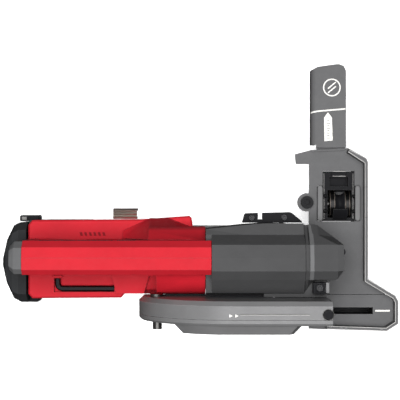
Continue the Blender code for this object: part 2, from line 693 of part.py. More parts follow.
def fan():
    at = (0, BODY_Y, AXIS_Z)
    disc = turned("x", at, [(4.35, -10.8), (4.35, -4.0), (7.5, -4.0), (7.5, -9.4), (25.0, -9.4),
                            (25.0, -10.8)], 32)
    blades = []
    for i in range(9):
        blade = box((-9.8, -4.2), (-0.6, 0.6), (7.0, 24.6))
        turn = Matrix.Rotation(math.tau * i / 9, 4, "X")
        blade.data.transform(Matrix.Translation(Vector(at) * MM) @ turn)
        blades.append(blade)
    node("fan", join(disc, *blades), "black", at)


# ---------------------------------------------------------------- bevel gears
def bevel_ring(teeth, pitch, apex_distance, phase, scale):
    """One end of a bevel gear: points (radius, distance from the apex, angle)."""
    slope = math.hypot(pitch, apex_distance)
    normal = (apex_distance / slope, -pitch / slope)
    tooth = math.tau / teeth
    marks = [(-0.30, -1.35), (-0.13, 1.1), (0.13, 1.1), (0.30, -1.35)]
    points = []
    for i in range(teeth):
        for shift, height in marks:
            radius = (pitch + normal[0] * height) * scale
            distance = (apex_distance + normal[1] * height) * scale
            points.append((radius, distance, phase + tooth * (i + shift)))
    return points


def toothed(teeth, pitch, apex_distance, phase, hub_length, to_world):
    """A bevel gear with straight teeth and a plain back."""
    slope = math.hypot(pitch, apex_distance)
    inner = (slope - CONE_FACE) / slope
    large = bevel_ring(teeth, pitch, apex_distance, phase, 1.0)
    small = bevel_ring(teeth, pitch, apex_distance, phase, inner)
    back = apex_distance + hub_length
    root = min(r for r, _, _ in large)
    low = [(root, back, angle) for _, _, angle in large]
    rings = [low, large, small]
    return loft([[to_world(r, d, a) for r, d, a in points] for points in rings])


def bevel_gears():
    apex = Vector((SPINDLE_X, BODY_Y, AXIS_Z))

    def gear_point(r, d, a):
        return apex + Vector((r * math.cos(a), -d, r * math.sin(a)))

    def pinion_point(r, d, a):
        return apex + Vector((-d, r * math.cos(a), r * math.sin(a)))

    gear = toothed(GEAR_TEETH, GEAR_R, PINION_R, 0.0, 5.5, gear_point)
    gear = cut(gear, rod("y", apex, 6.35, -120, 0, 24))
    node("bevel_gear", gear, "steel", apex)
    pinion = toothed(PINION_TEETH, PINION_R, GEAR_R, math.pi / PINION_TEETH, 4.0, pinion_point)
    pinion = cut(pinion, rod("x", apex, 4.35, -50, 100, 24))
    node("pinion", pinion, "steel", apex)


# ---------------------------------------------------------------- spindle and blade
def spindle_group():
    at = (SPINDLE_X, BLADE_Y, AXIS_Z)
    spindle = turned("y", at, [(0.0, -38.5), (6.0, -38.5), (6.0, -117.0), (3.4, -117.0),
                               (3.4, -96.0), (0.0, -96.0)], 28)
    node("spindle", spindle, "steel", at)
    half = BLADE_T / 2
    inner = BLADE_Y + half + GAP
    outer = BLADE_Y - half - GAP
    node("inner_flange", ring("y", at, 6.35, 21.0, inner, inner + 5.0, 36), "steel", at)
    node("outer_flange", ring("y", at, 6.35, 20.0, outer - 3.6, outer, 36), "steel", at)
    head = rod("y", at, 9.5, -124.0, -119.0, 6)
    collar = rod("y", at, 11.5, -119.2, -117.4, 28)
    shank = rod("y", at, 3.0, -118.5, -99.0, 16)
    node("blade_bolt", join(head, collar, shank), "black_steel", at)


def blade():
    """A thin toothed disc."""
    teeth = 40
    outline = []
    for i in range(teeth):
        start = 360.0 * i / teeth
        for shift, radius in ((0.0, BLADE_R), (2.6, BLADE_R - 1.2), (6.2, BLADE_R - 6.5)):
            angle = math.radians(start + shift)
            outline.append((SPINDLE_X + radius * math.cos(angle),
                            AXIS_Z + radius * math.sin(angle)))
    bore = circle((SPINDLE_X, AXIS_Z), 6.35, 24)
    disc = slab("xz", outline, BLADE_Y - BLADE_T / 2, BLADE_Y + BLADE_T / 2, bore)
    node("blade", disc, "steel", (SPINDLE_X, BLADE_Y, AXIS_Z))


# ---------------------------------------------------------------- guards
GUARD_SIDE_Y = -94.7           # face of the guard towards the body
GUARD_SPLIT_Y = -112.0         # joint between the two guard halves
GUARD_WALL = 2.4
GUARD_FRONT_X = 123.6
GUARD_FRONT_LOW = 146.0


def guard_outline():
    """Side view of the upper guard: an arc behind, a flat top and a square front."""
    hub = (SPINDLE_X, AXIS_Z)
    back = arc(hub, GUARD_R, 188, 98, 12)
    hub_low = arc(hub, 26.0, -20, -160, 7)
    return [*back, (GUARD_FRONT_X, GUARD_TOP),
            (GUARD_FRONT_X, GUARD_FRONT_LOW), (72.0, GUARD_FRONT_LOW), (66.0, AXIS_Z),
            *hub_low, (0.0, 95.0)]


def guard_hollow():
    """Outline of the space for the blade, open below."""
    top = GUARD_TOP - GUARD_WALL
    front = GUARD_FRONT_X - GUARD_WALL
    back = arc((SPINDLE_X, AXIS_Z), GUARD_R - GUARD_WALL, 188, 98, 12)
    return [*back, (front, top), (front, 40.0), (back[0][0], 40.0)]


def upper_guard():
    hub = (SPINDLE_X, 0, AXIS_Z)
    inner = slab("xz", guard_outline(), GUARD_SPLIT_Y + 0.15, GUARD_SIDE_Y)
    inner = chamfer_top(inner, GUARD_SIDE_Y, 4.4)
    hollow = slab("xz", guard_hollow(), GUARD_SPLIT_Y - 5, GUARD_SIDE_Y - 3.0)
    inner = cut(inner, hollow, rod("y", hub, BOSS_R + 0.4, -120, -80, 36))
    node("guard_inner", inner, "light_metal")
    outer = slab("xz", guard_outline(), -117.5, GUARD_SPLIT_Y - 0.15)
    outer = chamfer_top(outer, -117.5, 2.2)
    dome_low = [(-25.0, 115.0), (-25.0, 176.5), (-9.0, 190.5), (14.0, 198.0), (92.0, 198.5),
                (97.0, 190.0), (97.0, 147.0), (72.0, 147.0), (62.0, 100.0), (37.0, 88.0),
                (10.0, 98.0)]
    middle = Vector((38.0, 0, 146.0))
    rings = []
    for y, scale in ((-117.0, 1.0), (-126.6, 0.86)):
        rings.append([(middle.x + (x - middle.x) * scale, y, middle.z + (z - middle.z) * scale)
                      for x, z in dome_low])
    outer = join(outer, loft(rings))
    hollow = slab("xz", guard_hollow(), -115.3, -100.0)
    room = rod("y", hub, 24.0, -124.9, -100.0, 36)
    node("guard_outer", cut(outer, hollow, room), "light_metal")


def chamfer_top(obj, side, width):
    """Chamfer the rim edges of a guard half that lie in one side face."""
    bm = bmesh.new()
    bm.from_mesh(obj.data)
    edges = []
    for edge in bm.edges:
        if any(abs(v.co.y - side * MM) > 1e-5 for v in edge.verts):
            continue
        if edge.calc_face_angle(0.0) < 0.5:
            continue
        middle = (edge.verts[0].co + edge.verts[1].co) / 2 / MM
        reach = math.hypot(middle.x - SPINDLE_X, middle.z - AXIS_Z)
        if reach > GUARD_R - 4 and middle.x < GUARD_FRONT_X - 1 and middle.z > 90:
            edges.append(edge)
    bmesh.ops.bevel(bm, geom=edges, offset=width * MM, segments=1, affect="EDGES", profile=0.5)
    bmesh.ops.recalc_face_normals(bm, faces=bm.faces)
    bm.to_mesh(obj.data)
    bm.free()
    return obj


def lower_guard():
    """A one-sided sector with a rim, that turns about the spindle."""
    hub = (SPINDLE_X, AXIS_Z)
    rim = slab("xz", [*arc(hub, 94.9, 188, 299, 16), *arc(hub, 93.4, 299, 188, 16)], -114.9, -103.0)
    spoke_in = arc(hub, 10.0, 170, 317, 8)
    plate = slab("xz", [*arc(hub, 94.9, 188, 299, 16), *spoke_in[::-1]], -104.6, -102.9)
    collar = slab("xz", circle(hub, 13.0, 28), -104.6, -102.9)
    guard = join(plate, collar, rim)
    guard = cut(guard, rod("y", (SPINDLE_X, 0, AXIS_Z), 6.6, -110, -95, 24))
    node("lower_guard", guard, "light_metal", (SPINDLE_X, BLADE_Y, AXIS_Z))


def guard_fasteners():
    stud = rod("y", (-42.0, 0, 126.0), 4.5, -127.0, -117.8, 16)
    node("guard_stud", stud, "steel")
    spots = [(SPINDLE_X + 23.2 * math.cos(a), 0, AXIS_Z + 23.2 * math.sin(a))
             for a in (math.radians(d) for d in (45, 135, 225, 315))]
    heads = [rod("y", at, 2.2, -91.0, -88.0, 12) for at in spots]
    plate = ring("y", (SPINDLE_X, 0, AXIS_Z), BOSS_R + 0.4, 25.6, -88.4, -86.9, 36)
    node("bearing_retainer", join(plate, *heads), "black_steel")
    low, high = GUARD_TOP + GAP, GUARD_TOP + 1.8
    plug = turned("z", (119.4, -106.8, 0), [(0.0, high), (4.2, high), (4.9, low), (0.0, low)], 24)
    node("guard_plug", plug, "black")


# ---------------------------------------------------------------- fittings on the head
def side_bracket():
    outline = [(41.6, -22.3), (43.6, -14.2), (45.2, -13.0), (88.6, -12.0), (90.4, -12.6),
               (100.4, -21.0), (100.4, -22.3)]
    bracket = slab("xy", outline, 113.0, 126.5)
    notch = box((57.0, 61.5), (-19.0, 0.0), (100, 140))
    node("side_bracket", cut(bracket, notch), "black")


def belt_hook():
    """Rolled steel strip, bent over so that it opens downwards."""
    plate = box((-88.0, -64.0), (-19.2, -16.8), (67.5, 82.0))
    roll = [(-19.0, 79.0), (-19.0, 83.0), (-17.2, 84.4), (-15.6, 83.2), (-13.8, 84.4),
            (-12.2, 83.2), (-10.4, 84.0), (-8.6, 81.5), (-8.6, 48.0), (-11.0, 48.0),
            (-11.0, 79.0), (-12.6, 80.6)]
    return node("belt_hook", join(plate, slab("yz", roll, -88.0, -64.0)), "steel")


def hex_key():
    """A six-sided key lying in its groove, bent at the rear."""
    z = 83.0
    bend = [(-139.2 + 5.0 * math.cos(a), -84.7 + 5.0 * math.sin(a), z)
            for a in (math.radians(180 + 15 * i) for i in range(7))]
    path = [(-144.2, -79.5, z), (-144.2, -82.5, z), *bend[1:], (-126.0, -89.7, z), (-87.0, -89.7, z)]
    node("hex_key", tube(path, 2.9, 1), "black_steel", (-110.0, -89.7, z))


def front_block():
    block = soften(box((108.8, 121.0), (-90.9, -79.3), (146.0, 158.0)), 0.8)
    node("front_block", block, "black")


def work_light():
    low = NOSE[-1][0] + GAP
    profile = [(0.0, low + 2.6), (2.4, low + 2.0), (3.2, low), (0.0, low)]
    lens = turned("x", (0, -50.0, 158.0), profile, 20)
    node("work_light", lens, "lens")


def controls():
    blade_side = [(-110.6, 146.0), (-87.4, 146.0), (-87.4, 128.5), (-91.0, 122.5), (-99.0, 120.5),
                  (-106.0, 124.0), (-110.6, 131.0)]
    trigger = slab("xz", blade_side, HANDLE_Y - 6.0, HANDLE_Y + 6.0)
    node("trigger", soften(trigger, 0.8), "black", (-99.0, HANDLE_Y, 130.0))
    switch = box((-124.0, -84.0), (HANDLE_Y - 9.6, HANDLE_Y + 9.6), (151.0, 164.4))
    node("switch_box", switch, "dark")
    side = (HANDLE_Y + 7.0, HANDLE_Y + 16.0)
    button = soften(box((-78.0, -64.0), side, (147.0, 157.0)), 0.8)
    node("lock_off", button, "black", (-71.0, HANDLE_Y + 12.0, 152.0))
    board = box((-80.0, -62.0), (HANDLE_Y - 9.6, HANDLE_Y + 9.6), (141.0, 142.8))
    node("circuit_board", board, "green")
    node("spindle_lock", rod("y", LOCK_AT, 5.2, -30.6, -20.5, 24), "black",
         (LOCK_AT[0], -24.0, AXIS_Z))


# ---------------------------------------------------------------- battery
CAP_Y = -62.8                  # middle of the battery's rear cap
TAB_X = (-187.0, -166.5)


def battery():
    """Pack with a rail on top, a dark rear cap, cells inside and two release tabs."""
    mid = BODY_Y
    half = [(33.0, 3.0), (38.0, 9.0), (38.0, 60.0), (33.0, 65.6)]
    shell = slab("yz", mirrored(half), -175.6, -101.0)
    neck = box((-172.0, -106.0), (mid - 24.0, mid + 24.0), (60.0, 71.0))
    rail = box((-172.0, -106.0), (mid - 29.0, mid + 29.0), (70.8, 75.6))
    inside = box((-190.0, -108.0), (mid - 35.0, mid + 35.0), (8.0, 58.0))
    pack = cut(join(shell, neck, rail), inside, *tab_notches())
    node("battery_shell", pack, "dark")
    cells = [rod("y", (x, 0, z), 9.1, mid - 33.0, mid + 33.0, 20)
             for x in (-118.0, -137.0, -156.0) for z in (18.0, 38.0)]
    holder = box((-166.0, -109.0), (mid - 4.0, mid + 4.0), (9.0, 48.0))
    node("battery_cells", join(holder, *cells), "cell")
    rear = []
    for x, half, top in ((-176.0, 40.4, 86.0), (-184.0, 40.0, 90.0), (-189.5, 37.0, 90.0),
                         (-197.0, 22.5, 86.0), (-201.0, 7.0, 74.0)):
        corner = min(8.0, half / 2)
        high, wide = top - 1.75 * corner, half - corner
        rear.append([(x, CAP_Y + side * w, z) for side, w, z in
                     ((1, wide, top), (1, half, high), (1, half, 14.0), (1, wide, 3.0),
                      (-1, wide, 3.0), (-1, half, 14.0), (-1, half, high), (-1, wide, top))])
    node("battery_cap", cut(loft(rear), *tab_notches()), "rubber")
    for name, span in (("release_tab_left", (-22.0, -15.8)), ("release_tab_right", (-105.6, -98.2))):
        tab = soften(box((TAB_X[0] + GAP, TAB_X[1] - GAP), span, (22.5, 51.5)), 1.0)
        node(name, tab, "black", (sum(TAB_X) / 2, sum(span) / 2, 37.0))


def tab_notches():
    """Recesses for the two release tabs, open to the sides."""
    return [box(TAB_X, span, (22.0, 52.0)) for span in ((-26.0, -10.0), (-112.0, -94.5))]


def build():
    for make in (table_plate, kerf_strip, fence_rim, stand_base, base_pad, guide_rods,
                 rod_end_block, support_arm, arm_clamp, roller_bracket, roller_axle,
                 roller_wheel, guide_shoe, clamp_bolt, carriage, lower_housing,
                 d_handle, handle_bumper, motor_housing, gear_cover, gear_case,
                 bearing_plate, bearings, motor, fan, bevel_gears, spindle_group, blade,
                 upper_guard, lower_guard, guard_fasteners, side_bracket, belt_hook, hex_key,
                 front_block, work_light, controls, battery):
        make()


build()
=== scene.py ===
"""Looks of a compact cordless cut-off saw that slides on a small table stand.

The CAD nodes get their materials here, and small pieces are added to them: printed marks,
screws, grooves, pads, strips of painted highlight and of painted shade, and dark sheets of
painted shade.  Positions are given in millimetres of the drawing, whose Y axis starts SHIFT_Y
away from the frame's.  Every mesh is made in the frame's own coordinates, so object
coordinates in the materials are the same all over the saw.
"""

import json
import math

import bmesh
import bpy
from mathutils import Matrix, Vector


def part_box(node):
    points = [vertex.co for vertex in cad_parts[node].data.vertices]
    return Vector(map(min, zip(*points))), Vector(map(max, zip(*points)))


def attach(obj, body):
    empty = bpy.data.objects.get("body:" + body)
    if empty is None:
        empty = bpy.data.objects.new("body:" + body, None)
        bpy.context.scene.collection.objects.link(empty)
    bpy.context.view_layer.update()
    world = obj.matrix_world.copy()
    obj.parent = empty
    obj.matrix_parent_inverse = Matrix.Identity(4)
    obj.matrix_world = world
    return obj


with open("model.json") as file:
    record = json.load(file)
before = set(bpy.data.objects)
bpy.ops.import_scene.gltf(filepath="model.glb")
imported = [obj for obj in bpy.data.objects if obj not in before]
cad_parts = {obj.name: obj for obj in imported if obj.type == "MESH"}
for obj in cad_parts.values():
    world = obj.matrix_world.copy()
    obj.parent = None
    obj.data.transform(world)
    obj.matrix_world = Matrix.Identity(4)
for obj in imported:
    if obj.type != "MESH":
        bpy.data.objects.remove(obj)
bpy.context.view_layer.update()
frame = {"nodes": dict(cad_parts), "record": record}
NODES = frame["nodes"]

MM = 0.001
SHIFT_Y = -2.4
BODY_Y = -58.7                 # middle plane of the battery
BATTERY_HALF = 38.0
HANDLE_Y = -55.3               # middle plane of the handle
HANDLE_HALF = 16.3
AXIS_Z = 107.0                 # height of the spindle
SPINDLE_X = 37.3
BLADE_Y = -112.5               # middle plane of the blade
ARM_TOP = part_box("support_arm")[1].z / MM
TABLE_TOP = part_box("table_plate")[1].z / MM
RIM_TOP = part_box("fence_rim")[1].z / MM
HOUSING_TOP = 84.0
GUARD_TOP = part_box("guard_outer")[1].z / MM
SKIN = 0.12                    # height of a painted mark above its surface
MARK_SINK = 0.05               # how far a painted mark reaches into its surface
SINK = 0.3                     # how far a fitted piece reaches into what holds it
EDGE_FROM, EDGE_TO = 0.86, 0.985   # turn of the rounded normal, as a cosine, on an edge
BRUSH_DEPTH = 0.00002
SMOOTH_ANGLE = 35.0            # added pieces are shaded smoothly below this many degrees
ROUND_ANGLE = 40.0             # and only sharper edges are rounded off
WELD_DISTANCE = 0.00001


# ---------------------------------------------------------------- materials
class Graph:
    """A small helper for building a material's nodes."""

    def __init__(self, name, specular=0.5, metal=0.0, edge=0.0006):
        self.material = bpy.data.materials.new(name)
        self.material.use_nodes = True
        self.tree = self.material.node_tree
        self.shader = self.tree.nodes["Principled BSDF"]
        self.shader.inputs["Specular IOR Level"].default_value = specular
        self.shader.inputs["Metallic"].default_value = metal
        self.place = self.add("ShaderNodeTexCoord").outputs["Object"]
        rounded = self.add("ShaderNodeBevel", samples=4, Radius=edge)
        self.soft = rounded.outputs["Normal"]

    def add(self, kind, **values):
        made = self.tree.nodes.new(kind)
        for key, value in values.items():
            if hasattr(made, key):
                setattr(made, key, value)
            else:
                made.inputs[key].default_value = value
        return made

    def link(self, source, target):
        self.tree.links.new(source, target)

    def stretched(self, scale):
        """Object coordinates with a different scale on each axis."""
        mapping = self.add("ShaderNodeMapping")
        mapping.inputs["Scale"].default_value = scale
        self.link(self.place, mapping.inputs["Vector"])
        return mapping.outputs["Vector"]

    def noise(self, scale, detail=4.0, vector=None, rough=0.6):
        made = self.add("ShaderNodeTexNoise")
        made.inputs["Scale"].default_value = scale
        made.inputs["Detail"].default_value = detail
        made.inputs["Roughness"].default_value = rough
        self.link(vector or self.place, made.inputs["Vector"])
        return made.outputs["Fac"]

    def spread(self, value, low, high, start=0.3, stop=0.7):
        """Map a value to a range."""
        made = self.add("ShaderNodeMapRange")
        for key, number in (("From Min", start), ("From Max", stop), ("To Min", low),
                            ("To Max", high)):
            made.inputs[key].default_value = number
        self.link(value, made.inputs["Value"])
        return made.outputs["Result"]

    def mixed(self, factor, first, second):
        """A colour between a first one, plain or linked, and a plain second one."""
        made = self.add("ShaderNodeMix", data_type="RGBA")
        sockets = [socket for socket in made.inputs if socket.type == "RGBA"]
        if isinstance(first, tuple):
            sockets[0].default_value = (*first, 1.0)
        else:
            self.link(first, sockets[0])
        sockets[1].default_value = (*second, 1.0)
        self.link(factor, made.inputs["Factor"])
        return next(out for out in made.outputs if out.type == "RGBA")

    def bump(self, height, depth, below=None):
        """A fine relief on top of the rounded edges, or of another relief."""
        made = self.add("ShaderNodeBump")
        made.inputs["Distance"].default_value = depth
        self.link(height, made.inputs["Height"])
        self.link(below or self.soft, made.inputs["Normal"])
        return made.outputs["Normal"]

    def edges(self):
        """Where the surface lies on an edge, broken up by a noise, from 0 to 1."""
        face = self.add("ShaderNodeNewGeometry").outputs["Normal"]
        turned = self.add("ShaderNodeVectorMath", operation="DOT_PRODUCT")
        self.link(face, turned.inputs[0])
        self.link(self.soft, turned.inputs[1])
        near = self.spread(turned.outputs["Value"], 1.0, 0.0, EDGE_FROM, EDGE_TO)
        both = self.add("ShaderNodeMath", operation="MULTIPLY")
        self.link(near, both.inputs[0])
        self.link(self.spread(self.noise(260.0, 3.0), 0.45, 1.0), both.inputs[1])
        return both.outputs[0]


def scaled(colour, times, plus=0.0):
    """A colour made darker or lighter, at most white."""
    return tuple(min(1.0, c * times + plus) for c in colour)


def moulded(name, colour, rough, grain=2600.0, depth=0.00004, worn=0.12, specular=0.18,
            spread=0.06, metal=0.0):
    """Plastic, rubber or coating with a fine grain, uneven gloss and lighter edges."""
    g = Graph(name, specular, metal)
    edge = tuple(c + worn * (0.75 - c) for c in colour)
    tone = g.mixed(g.spread(g.noise(38.0, 5.0), 0.0, 1.0), scaled(colour, 1 - spread),
                   scaled(colour, 1 + spread))
    g.link(g.mixed(g.edges(), tone, edge), g.shader.inputs["Base Color"])
    gloss = g.spread(g.noise(190.0, 3.0), rough - 0.05, rough + 0.07)
    g.link(gloss, g.shader.inputs["Roughness"])
    g.link(g.bump(g.noise(grain, 2.0), depth), g.shader.inputs["Normal"])
    return g.material


def brushed(name, colour, rough, stretch, bright=1.7):
    """Metal with fine parallel lines; stretch is small along the lines.  Its edges are bright
    times lighter, partly wear and partly a painted highlight.
    """
    g = Graph(name, metal=1.0)
    lines = g.noise(1.0, 3.0, g.stretched(stretch), 0.7)
    tone = g.mixed(g.spread(lines, 0.0, 1.0), scaled(colour, 0.84), colour)
    # lighter edges: partly wear, partly a painted highlight
    g.link(g.mixed(g.edges(), tone, scaled(colour, bright)), g.shader.inputs["Base Color"])
    g.link(g.spread(lines, rough - 0.06, rough + 0.08), g.shader.inputs["Roughness"])
    g.link(g.bump(lines, BRUSH_DEPTH), g.shader.inputs["Normal"])
    return g.material


def spun(name, colour, rough):
    """Steel disc ground in circles about the spindle."""
    g = Graph(name, metal=1.0)
    split = g.add("ShaderNodeSeparateXYZ")
    g.link(g.place, split.inputs["Vector"])
    flat = g.add("ShaderNodeCombineXYZ")
    for axis, centre in (("X", SPINDLE_X * MM), ("Z", AXIS_Z * MM)):
        moved = g.add("ShaderNodeMath", operation="SUBTRACT")
        g.link(split.outputs[axis], moved.inputs[0])
        moved.inputs[1].default_value = centre
        g.link(moved.outputs[0], flat.inputs[axis])
    reach = g.add("ShaderNodeVectorMath", operation="LENGTH")
    g.link(flat.outputs["Vector"], reach.inputs[0])
    rings = g.add("ShaderNodeCombineXYZ")
    g.link(reach.outputs["Value"], rings.inputs["X"])
    lines = g.noise(1800.0, 3.0, rings.outputs["Vector"], 0.7)
    tone = g.mixed(g.spread(lines, 0.0, 1.0), scaled(colour, 0.8), colour)
    g.link(tone, g.shader.inputs["Base Color"])
    g.link(g.spread(lines, rough - 0.05, rough + 0.1), g.shader.inputs["Roughness"])
    g.link(g.bump(lines, BRUSH_DEPTH), g.shader.inputs["Normal"])
    return g.material


def cast(name, colour, rough, metal):
    """Coated casting with a sandblasted skin, a coarse relief under a fine one."""
    g = Graph(name, 0.3, metal, 0.0007)
    tone = g.mixed(g.spread(g.noise(55.0, 6.0), 0.0, 1.0), scaled(colour, 0.93),
                   scaled(colour, 1.06))
    bare = scaled(colour, 2.2, 0.05)
    g.link(g.mixed(g.edges(), tone, bare), g.shader.inputs["Base Color"])
    g.link(g.spread(g.noise(420.0, 3.0), rough - 0.06, rough + 0.08),
           g.shader.inputs["Roughness"])
    low = g.bump(g.noise(240.0, 3.0), 0.00004)
    g.link(g.bump(g.noise(1900.0, 2.0), 0.00005, low), g.shader.inputs["Normal"])
    return g.material


LOOKS = {
    "red": moulded("red_plastic", (0.38, 0.011, 0.019), 0.42, worn=0.06),
    # dark red of the seam line and the embossed bars, and painted shade in the gap under the
    # head's rear
    "seam_and_shade_red": moulded("red_shadow_line", (0.16, 0.006, 0.010), 0.5, worn=0.0),
    "dark": moulded("dark_plastic", (0.047, 0.047, 0.048), 0.46, worn=0.10, specular=0.12),
    # light grey strips of painted highlight along the rim's and the tray's edges
    "painted_highlight": moulded("painted_highlight_line", (0.46, 0.45, 0.44), 0.5, worn=0.0),
    "cheek": cast("cast_cheek", (0.130, 0.130, 0.132), 0.42, 0.3),
    # lighter band of painted highlight on the nose's rounded edge
    "band": moulded("painted_highlight_band", (0.100, 0.101, 0.103), 0.36, worn=0.0),
    "pad": moulded("light_rubber", (0.085, 0.086, 0.088), 0.6, grain=1500.0, depth=0.00008,
                   worn=0.05, specular=0.12),
    "rubber": moulded("rubber", (0.022, 0.023, 0.024), 0.66, grain=1500.0, depth=0.00008,
                      worn=0.05, specular=0.08),
    "black": moulded("black_plastic", (0.006, 0.006, 0.007), 0.36, specular=0.14, worn=0.08),
    "dark_metal": moulded("powder_coat", (0.050, 0.051, 0.053), 0.5, grain=900.0,
                          depth=0.00010, worn=0.2, metal=0.2),
    "black_steel": brushed("black_steel", (0.034, 0.034, 0.036), 0.34, (900, 900, 900),
                           bright=6.0),
    "plate": cast("cast_plate", (0.092, 0.092, 0.094), 0.55, 0.1),
    "light_metal": cast("coated_aluminium", (0.155, 0.155, 0.157), 0.36, 0.25),
    "screw": brushed("screw_steel", (0.075, 0.075, 0.078), 0.26, (900, 900, 900), bright=8.0),
    "steel": brushed("steel", (0.30, 0.295, 0.285), 0.3, (1600, 1600, 90)),
    "hook_steel": brushed("rolled_steel", (0.72, 0.59, 0.51), 0.34, (60, 2400, 2400)),
    "roller_steel": brushed("roller_steel", (0.060, 0.058, 0.058), 0.24, (90, 1600, 1600),
                            bright=6.0),
    "blade": spun("blade_steel", (0.42, 0.42, 0.43), 0.28),
    "copper": brushed("winding", (0.5, 0.21, 0.08), 0.35, (200, 3000, 3000)),
    "green": moulded("board", (0.02, 0.14, 0.05), 0.35),
    "cell": moulded("cell_sleeve", (0.06, 0.16, 0.38), 0.4),
    "lens": moulded("smoked_lens", (0.020, 0.020, 0.022), 0.12, worn=0.0, specular=0.5),
    "white": moulded("white_print", (0.66, 0.65, 0.62), 0.6, worn=0.0),
    # dark print, and also painted shade in the nose's groove
    "ink": moulded("dark_print_and_shade", (0.045, 0.045, 0.046), 0.6, worn=0.0),
}
# A CAD node takes the look named as its material slot, apart from these.
SPECIAL = {"belt_hook": "hook_steel", "blade": "blade", "roller_core": "roller_steel",
           "handle_bumper": "pad"}
SLOT_OF = {row["node"]: row["material_slot"] for row in frame["record"]["subparts"]}
# CAD nodes with round surfaces, shaded smoothly below this many degrees between faces.
SMOOTH_BELOW = {"guard_outer": 20, "guard_inner": 20, "lower_guard": 20, "roller_core": 20,
                "roller_tyre": 20, "guard_plug": 20, "clamp_bolt": 20, "hex_key": 32,
                "guard_stud": 25, "outer_flange": 20, "motor_housing": 44}


def dress_nodes():
    """Give every CAD node its material, and shade the round ones smoothly.

    Their faces share no points, so a weld joins them and a split parts the sharp edges.
    """
    for name, obj in NODES.items():
        look = SPECIAL.get(name, SLOT_OF[name])
        obj.data.materials.clear()
        obj.data.materials.append(LOOKS[look])
        if name in SMOOTH_BELOW:
            obj.data.shade_smooth()
            weld = obj.modifiers.new("weld", "WELD")
            weld.merge_threshold = WELD_DISTANCE
            split = obj.modifiers.new("split", "EDGE_SPLIT")
            split.split_angle = math.radians(SMOOTH_BELOW[name])


# ---------------------------------------------------------------- shapes
def point(x, y, z):
    """A drawing point in the frame's metres."""
    return Vector((x * MM, (y + SHIFT_Y) * MM, z * MM))


def polar(centre, radius, angle):
    """A flat point at an angle about a centre."""
    return centre[0] + radius * math.cos(angle), centre[1] + radius * math.sin(angle)


def finish_piece(name, bm, look, body, round_off=0.0):
    """Make an object of a bmesh, with its material, its rounding and its body."""
    bmesh.ops.remove_doubles(bm, verts=bm.verts, dist=1e-7)
    bmesh.ops.recalc_face_normals(bm, faces=bm.faces)
    mesh = bpy.data.meshes.new(name)
    bm.to_mesh(mesh)
    bm.free()
    obj = bpy.data.objects.new(name, mesh)
    bpy.context.scene.collection.objects.link(obj)
    mesh.materials.append(LOOKS[look])
    mesh.shade_smooth()
    mesh.set_sharp_from_angle(angle=math.radians(SMOOTH_ANGLE))
    if round_off:
        bevel = obj.modifiers.new("edges", "BEVEL")
        bevel.width = round_off * MM
        bevel.segments = 2
        bevel.limit_method = "ANGLE"
        bevel.angle_limit = math.radians(ROUND_ANGLE)
        bevel.harden_normals = True
    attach(obj, body)


# Where a flat point (u, v) at a place w along an axis lies in the drawing.
AXES = {
    "x": lambda u, v, w: (w, u, v),
    "y": lambda u, v, w: (u, w, v),
    "z": lambda u, v, w: (u, v, w),
}


def join_rings(bm, rows):
    """Faces between neighbouring rings of points; a ring may be a single point."""
    for first, second in zip(rows, rows[1:]):
        sides = max(len(first), len(second))
        for i in range(sides):
            j = (i + 1) % sides
            if len(first) == 1:
                bm.faces.new((first[0], second[j], second[i]))
            elif len(second) == 1:
                bm.faces.new((first[i], first[j], second[0]))
            else:
                bm.faces.new((first[i], first[j], second[j], second[i]))


def add_prism(bm, axis, outline, low, high):
    """A flat outline with a thickness along an axis."""
    rows = [[bm.verts.new(point(*AXES[axis](u, v, w))) for u, v in outline]
            for w in (low, high)]
    bm.faces.new(rows[0][::-1])
    bm.faces.new(rows[1])
    join_rings(bm, rows)


def add_lathe(bm, axis, centre, profile, sides=32):
    """A closed solid of revolution; profile holds (radius, place on the axis)."""
    rows = []
    for radius, along in profile:
        if radius < 1e-6:
            rows.append([bm.verts.new(point(*AXES[axis](*centre, along)))])
            continue
        rows.append([bm.verts.new(point(*AXES[axis](
            *polar(centre, radius, math.tau * i / sides), along))) for i in range(sides)])
    join_rings(bm, rows)


def add_socket(bm, axis, centre, radius, low, high):
    """A socket head with a blind hexagon; it faces from low towards high."""
    way = 1 if high > low else -1
    sides, chamfer, deep = 24, 0.35, high - way * 0.6 * abs(high - low)

    def hexagon(i, size):
        turn = math.tau * i / sides
        corner = math.cos((turn + math.pi / 6) % (math.pi / 3) - math.pi / 6)
        return size * math.cos(math.pi / 6) / corner

    rings = [(lambda i: radius, low), (lambda i: radius, high - way * chamfer),
             (lambda i: radius - chamfer, high), (lambda i: hexagon(i, radius * 0.56), high),
             (lambda i: hexagon(i, radius * 0.52), deep)]
    rows = [[bm.verts.new(point(*AXES[axis](
        *polar(centre, reach(i), math.tau * i / sides), along))) for i in range(sides)]
        for reach, along in rings]
    join_rings(bm, rows)
    bm.faces.new(rows[0])
    bm.faces.new(rows[-1])


def prism(name, axis, outline, low, high, look, body, round_off=0.0):
    """A piece that is one prism."""
    bm = bmesh.new()
    add_prism(bm, axis, outline, low, high)
    finish_piece(name, bm, look, body, round_off)


def lathe(name, axis, centre, profile, look, body, sides=32):
    """A piece that is one solid of revolution."""
    bm = bmesh.new()
    add_lathe(bm, axis, centre, profile, sides)
    finish_piece(name, bm, look, body)


def sockets(name, axis, spots, look, body):
    """Several socket heads; each spot is (centre, radius, low, high)."""
    bm = bmesh.new()
    for centre, radius, low, high in spots:
        add_socket(bm, axis, centre, radius, low, high)
    finish_piece(name, bm, look, body)


def rectangle(u, v):
    """Outline between two ends in u and two in v."""
    return [(u[0], v[0]), (u[1], v[0]), (u[1], v[1]), (u[0], v[1])]


def capsule(start, stop, radius):
    """Outline of a slot with round ends between two points."""
    steps = 6
    turn = math.atan2(stop[1] - start[1], stop[0] - start[0])
    return [polar(centre, radius, first + math.pi * i / steps)
            for centre, first in ((stop, turn - math.pi / 2), (start, turn + math.pi / 2))
            for i in range(steps + 1)]


